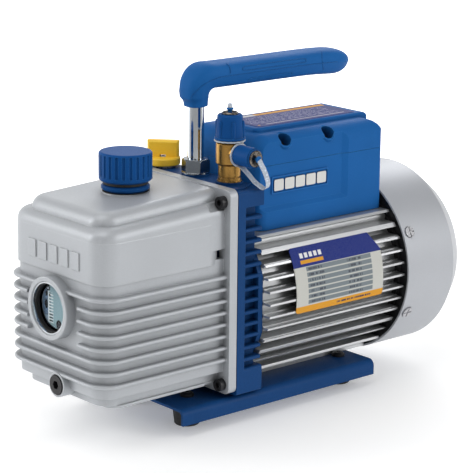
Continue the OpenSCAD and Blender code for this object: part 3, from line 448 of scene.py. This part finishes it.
def section(hw, low, mid, top):
    """Section of the grip as (x, height) pairs, hw wide each way at the moulding line mid."""
    half = [(0, top), (0.58, top - 0.06 * (top - mid)), (0.86, mid + 0.66 * (top - mid)),
            (0.965, mid + 0.32 * (top - mid)), (1, mid), (0.9, mid + 0.36 * (low - mid)),
            (0.76, mid + 0.76 * (low - mid)), (0.5, mid + 0.97 * (low - mid)), (0, low)]
    return [(hw * a, b) for a, b in half] + [(-hw * a, b) for a, b in half[-2:0:-1]]


def grip():
    """Handle grip: rings of one section up the post, round the bend and along to a bullet end."""
    bend_y, bend_z = -29.5, 232.3
    bend_inner, bend_outer = 4.0, 23.3
    rings = []
    # socket on the post, as height, half depth, half width and middle. The outer side comes first.
    for z, hy, hx, cy in ((224, 7.9, 7.9, POST_Y), (224.6, 8.3, 8.2, POST_Y), (228, 8.4, 8.3, POST_Y),
                          (229.6, 9.3, 8.8, POST_Y - 0.7), (231, 10, 9.6, POST_Y - 1.4)):
        rings.append([(x, cy - h, z) for x, h in section(hx, -hy, 0.12 * hy, hy)])
    # bend, one ring every 10 degrees
    for k in range(10):
        a = radians(k * 10)
        outer = bend_outer + 2.2 * sin(2 * a)
        mid = bend_inner + (outer - bend_inner) * 0.57
        rings.append([(x, bend_y - h * cos(a), bend_z + h * sin(a))
                      for x, h in section(9.9 + 3.4 * min(1, k / 7), bend_inner, mid, outer)])
    # bar, as place along, top, underside and half width
    for y, top, low, hw in ((-14, 255.6, 236.3, 13.5), (10, 255.6, 236.3, 13.5), (40, 255.6, 236.3, 13.5),
                            (68, 255.6, 236.1, 13.5), (84, 255.3, 234.8, 13.3), (92, 254.2, 234.5, 12.4),
                            (98.5, 252, 236.3, 10.6), (103, 249, 239, 7.8), (105.6, 246.4, 241.9, 4.2)):
        rings.append([(x, y, z) for x, z in section(hw, low, low + (top - low) * 0.52, top)])
    bm = bmesh.new()
    rows = loft(bm, rings)
    # the moulding line runs through the widest points
    crease = bm.edges.layers.float.new("crease_edge")
    for a, b in zip(rows, rows[1:]):
        for i in (4, 12):
            bm.edges.get((a[i], b[i]))[crease] = 0.7
    o = piece("grip_shell", bm, blue_plastic, "pump", 60, 3)
    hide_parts("handle_grip")
    return o


def tube(name, points, r, mat, body, n, flat=1.0, wide=None, onto=None):
    """Strip with n sides, smooth through points (mm).

    flat is its thickness as a share of its width, wide the direction of its broad side, and onto(p)
    lays each point on a surface.
    """
    pts = [Vector(p) for p in points]
    fine = []
    for i in range(len(pts) - 1):
        # Catmull-Rom curve in six steps
        a, b, c, d = pts[max(i - 1, 0)], pts[i], pts[i + 1], pts[min(i + 2, len(pts) - 1)]
        for u in [k / 6 for k in range(6)]:
            fine.append(0.5 * (2 * b + (c - a) * u + (2 * a - 5 * b + 4 * c - d) * u * u
                               + (3 * b - a - 3 * c + d) * u ** 3))
    fine.append(pts[-1])
    if onto:
        fine = [onto(p) for p in fine]

    def fuller(c):
        """Gives a flat strip squarer edges than an ellipse has."""
        return abs(c) ** -0.35 if flat != 1 and abs(c) > 0.02 else 1

    rings = []
    for i, p in enumerate(fine):
        run = (fine[min(i + 1, len(fine) - 1)] - fine[max(i - 1, 0)]).normalized()
        broad = Vector(wide) if wide else run.orthogonal()
        broad = (broad - run * broad.dot(run)).normalized()
        thin = run.cross(broad)
        rings.append([p + broad * (r * cos(a)) * fuller(cos(a)) + thin * (r * flat * sin(a))
                      for a in [2 * pi * k / n for k in range(n)]])
    bm = bmesh.new()
    loft(bm, rings)
    return piece(name, bm, mat, body, 50)


shell = grip()

# moulded lines of the grip, as (y, z) points seen from the side
GRIP_LINES = (
    ("grip_joint_", 0.32, blue_gloss, [(-51.6, 231.2), (-51.2, 234.6), (-47.5, 239.2), (-41.3, 242.9),
                                       (-32, 245.3), (-21, 246), (20, 246.2), (60, 246.2), (86, 245.4)]),
    ("grip_slot_", 0.3, blue_gloss, [(-6, 251.1), (20, 251.2), (50, 251.1), (53.5, 249.8), (50, 248.4),
                                     (20, 248.3), (-6, 248.3), (-8.6, 249.8), (-6, 251.1)]),
    ("grip_low_slot_", 0.22, blue_plastic, [(2, 242), (38, 242), (40.5, 241), (38, 240), (2, 240),
                                            (-0.5, 241), (2, 242)]),
    ("grip_notch_", 0.5, blue_gloss, [(-21, 254), (-20.4, 251), (-21, 247.6)]),
    ("grip_end_", 0.26, blue_gloss, [(73, 254), (70.6, 251), (70, 247.5), (71.5, 243), (74, 240)]),
)


def on_grip(sign):
    """Gives a function that moves a point (mm) sideways onto the grip's skin."""
    bpy.context.view_layer.update()
    tree = BVHTree.FromObject(shell, bpy.context.evaluated_depsgraph_get())

    def put(p):
        hit = tree.ray_cast(Vector((sign * 40, p.y, p.z)) * MM, Vector((-sign, 0, 0)))[0]
        return hit / MM if hit else p
    return put


for sign, tag in ((1, "near"), (-1, "far")):
    put = on_grip(sign)
    for name, r, mat, line in GRIP_LINES:
        tube(name + tag, [(0, y, z) for y, z in line], r, mat, "pump", 6, onto=put)

# black ring between the filler collar and the tank
bm = bmesh.new()
turned(bm, [(14.1, 0.02), (16, 0.02), (16.6, 0.3), (16.4, 0.62), (14.1, 0.62)], FILLER_FOOT, n=64)
piece("filler_foot_ring", bm, rubber, "pump")

# clear straps, each from a ring round its port to the button on its cap
TOP_WAY = radians(139)
top_strap = tube("top_strap_band",
                 [(TEE_X + r * cos(TOP_WAY), TEE_Y + r * sin(TOP_WAY), z) for r, z in
                  ((10.6, 204.9), (12.2, 205.4), (12.7, 208), (12.5, 215), (11.9, 221), (10.6, 225.6),
                   (7.5, 228.7), (3.5, 229.6), (0, 229.6))],
                 1.8, clear, None, 12, 0.2, (sin(TOP_WAY), -cos(TOP_WAY), 0))
side_strap = tube("side_strap_band",
                  [(45.7, -40, 188.2), (47.6, -39.8, 187.6), (51, -39.4, 185.6), (54.9, -38.5, 182.4),
                   (58.3, -37, 178.6), (61, -34.6, 175.6), (63.3, -32, 173.6), (65.6, -30.8, 174.8),
                   (66.3, -31, 178.6), (66.6, -33, 183.4), (66.8, -35.6, 188.3), (66.9, -38, 192),
                   (66.9, -40, 195.7)],
                  2.1, clear, None, 12, 0.2, (0, 1, 0.25))
for name, centre, axis, profile in (
        ("top_neck_ring", (TEE_X, TEE_Y, 204.4), "z",
         [(7.9, 0), (11.1, 0), (11.3, 0.3), (11.3, 0.7), (11.1, 1), (7.9, 1)]),
        ("side_neck_ring", (45.3, TEE_Y, SIDE_PORT_Z), "x",
         [(5.6, 0), (8.4, 0), (8.55, 0.2), (8.55, 0.6), (8.4, 0.8), (5.6, 0.8)])):
    bm = bmesh.new()
    turned(bm, profile, centre, axis)
    piece(name, bm, clear, "pump")
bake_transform(top_strap)
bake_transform(side_strap)
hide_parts("top_tether")
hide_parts("side_tether")

# push-on star ring, a thin black disc under it as painted shade inside the ring, and the blue button, on each
# cap
for tag, seat, axis, body in (("top", (TEE_X, TEE_Y, 223.75), "z", "top_travel"),
                              ("side", (62.75, TEE_Y, SIDE_PORT_Z), "x", "side_travel")):
    bm = bmesh.new()
    turned(bm, [(4.3, 0.45), (5.3, 0.1), (5.9, 0.3), (5.9, 0.75), (5.5, 1.3), (5.0, 1.6), (4.5, 1.25),
                (4.2, 0.8)], seat, axis)
    for k in range(5):
        # one prong: root and tip, each as radius, half width, and lower and upper height
        a = radians(k * 72 + 20)
        loft(bm, [[from_axis(seat, axis, r * cos(a) - w * sin(a), r * sin(a) + w * cos(a), h)
                   for w, h in ((-hw, h0), (hw, h0), (hw, h1), (-hw, h1))]
                  for r, hw, h0, h1 in ((4.6, 1.5, 0.9, 1.25), (2.5, 0.8, 0.3, 0.6))])
    piece(tag + "_star_ring", bm, star_steel, body, 35)
    # painted shade: a thin black disc inside the ring
    bm = bmesh.new()
    turned(bm, [(4.6, 0.02), (4.6, 0.12), (2.2, 0.25)], seat, axis, 40)
    piece(tag + "_star_shade", bm, black_steel, body)
    bm = bmesh.new()
    turned(bm, [(1.3, 0.2), (1.3, 2.9), (2.2, 3.0), (2.5, 3.4), (2.5, 3.9), (2.2, 4.3), (1.5, 4.4)], seat,
           axis, 40)
    piece(tag + "_button", bm, blue_plastic, body, 35)
# end of the top strap's pin, above the button
bm = bmesh.new()
turned(bm, [(1.5, 0), (1.7, 0.2), (1.7, 2.6), (1.5, 2.9)], (TEE_X, TEE_Y, 228.2), "z", 32)
piece("top_strap_stub", bm, clear, "top_travel", 35)

# ---------------------------------------------------------------- stage, lights and studio
# level direction from the photograph's side to the wall behind the pump
BEHIND_X, BEHIND_Y = -0.752, 0.659


def floor():
    """Pale round sweep: it darkens into the room, and glows like a lit wall behind the pump."""
    bm = bmesh.new()
    n = 48
    rows = [[bm.verts.new((r * cos(2 * pi * k / n), r * sin(2 * pi * k / n), 0)) for k in range(n)]
            for r in (0.2, 0.5, 1, 1.6, 2.4)]
    bm.faces.new(rows[0])
    for a, b in zip(rows, rows[1:]):
        for k in range(n):
            bm.faces.new((a[k], a[(k + 1) % n], b[(k + 1) % n], b[k]))
    mesh = bpy.data.meshes.new("floor")
    bm.to_mesh(mesh)
    bm.free()
    o = bpy.data.objects.new("floor", mesh)
    scene.collection.objects.link(o)
    t = Tree("floor")
    x, y, _ = t.xyz()
    distance = t.add("ShaderNodeVectorMath", operation="LENGTH")
    t.link(t.coord, distance.inputs[0])
    far = t.map(distance.outputs["Value"], 0.45, 1.0, 0, 1)
    way = t.math("ADD", t.math("MULTIPLY", x, BEHIND_X), t.math("MULTIPLY", y, BEHIND_Y))
    behind = t.map(way, 0.0, 0.35, 0, 1)
    pale = t.mix(t.noise(3, 2), (0.93, 0.93, 0.93), (0.95, 0.95, 0.95))
    t.shader("Base Color", t.mix(t.all(far, t.math("SUBTRACT", 1.0, behind)), pale, (0.5, 0.5, 0.5)))
    t.shader("Roughness", 0.7)
    t.shader("Specular IOR Level", 0.2)
    glow = t.math("ADD", t.all(t.math("SUBTRACT", 1.0, far), 0.24), t.all(far, behind))
    t.shader("Emission Strength", glow)
    t.shader("Emission Color", (1, 1, 1, 1))
    mesh.materials.append(t.mat)


def light(name, place, target, power, width, height):
    """Soft box of width by height metres that faces its target."""
    d = bpy.data.lights.new(name, "AREA")
    d.energy = power
    d.shape = "RECTANGLE"
    d.size, d.size_y = width, height
    o = bpy.data.objects.new(name, d)
    scene.collection.objects.link(o)
    o.location = place
    o.rotation_euler = (Vector(target) - Vector(place)).to_track_quat("-Z", "Y").to_euler()


floor()
light("key", (0.1, -0.7, 1.8), (0, 0, 0.1), 9.5, 1.4, 1.4)
light("right", (1.5, 0.9, 0.9), (0, 0, 0.12), 9.5, 0.8, 1.3)
light("left", (-1.1, -1.4, 0.8), (0, -0.05, 0.12), 9.5, 0.7, 1.2)
light("back", (-1.0, 1.4, 1.3), (0, 0, 0.15), 9, 1.0, 1.0)

# studio: bright wall behind, soft ceiling, darker sides with upright lamps for the bare metal to reflect
world = bpy.data.worlds.new("studio")
scene.world = world
world.use_nodes = True
wt = world.node_tree


def wnode(kind, *inputs, **values):
    n = wt.nodes.new(kind)
    for k, v in values.items():
        setattr(n, k, v)
    for i, v in enumerate(inputs):
        if isinstance(v, bpy.types.NodeSocket):
            wt.links.new(v, n.inputs[i])
        else:
            n.inputs[i].default_value = v
    return n.outputs[0]


def wmath(op, *inputs):
    return wnode("ShaderNodeMath", *inputs, operation=op)


def wmap(*inputs):
    return wnode("ShaderNodeMapRange", *inputs)


ways = wt.nodes.new("ShaderNodeSeparateXYZ")
wt.links.new(wt.nodes.new("ShaderNodeTexCoord").outputs["Generated"], ways.inputs[0])
wx, wy, wz = ways.outputs
turn = wmath("ARCTAN2", wy, wx)
way = wmath("ADD", wmath("MULTIPLY", wx, BEHIND_X), wmath("MULTIPLY", wy, BEHIND_Y))
wall = wmap(way, 0.45, 0.7, 0.24, 1.0)
ceiling = wmap(wz, 0.35, 0.8, 0.0, 0.42)
# lamps, as direction and half width in radians, and power
lamps = 0.0
for centre, half, power in ((-2.3, 0.1, 1.5), (-1.25, 0.05, 1.1), (-0.35, 0.1, 1.3), (0.5, 0.16, 1.2),
                            (-3.0, 0.06, 0.9)):
    off = wmath("ABSOLUTE", wmath("SUBTRACT", turn, centre))
    lamps = wmath("ADD", lamps, wmap(off, half, half + 0.06, power, 0.0))
lamps = wmath("MULTIPLY", lamps, wmap(wz, 0.5, 0.62, 1.0, 0.0))
studio = wt.nodes["Background"]
studio.inputs["Strength"].default_value = 1.0
wt.links.new(wmath("ADD", wmath("MAXIMUM", wall, ceiling), lamps), studio.inputs["Color"])
scene.view_settings.view_transform = "Standard"
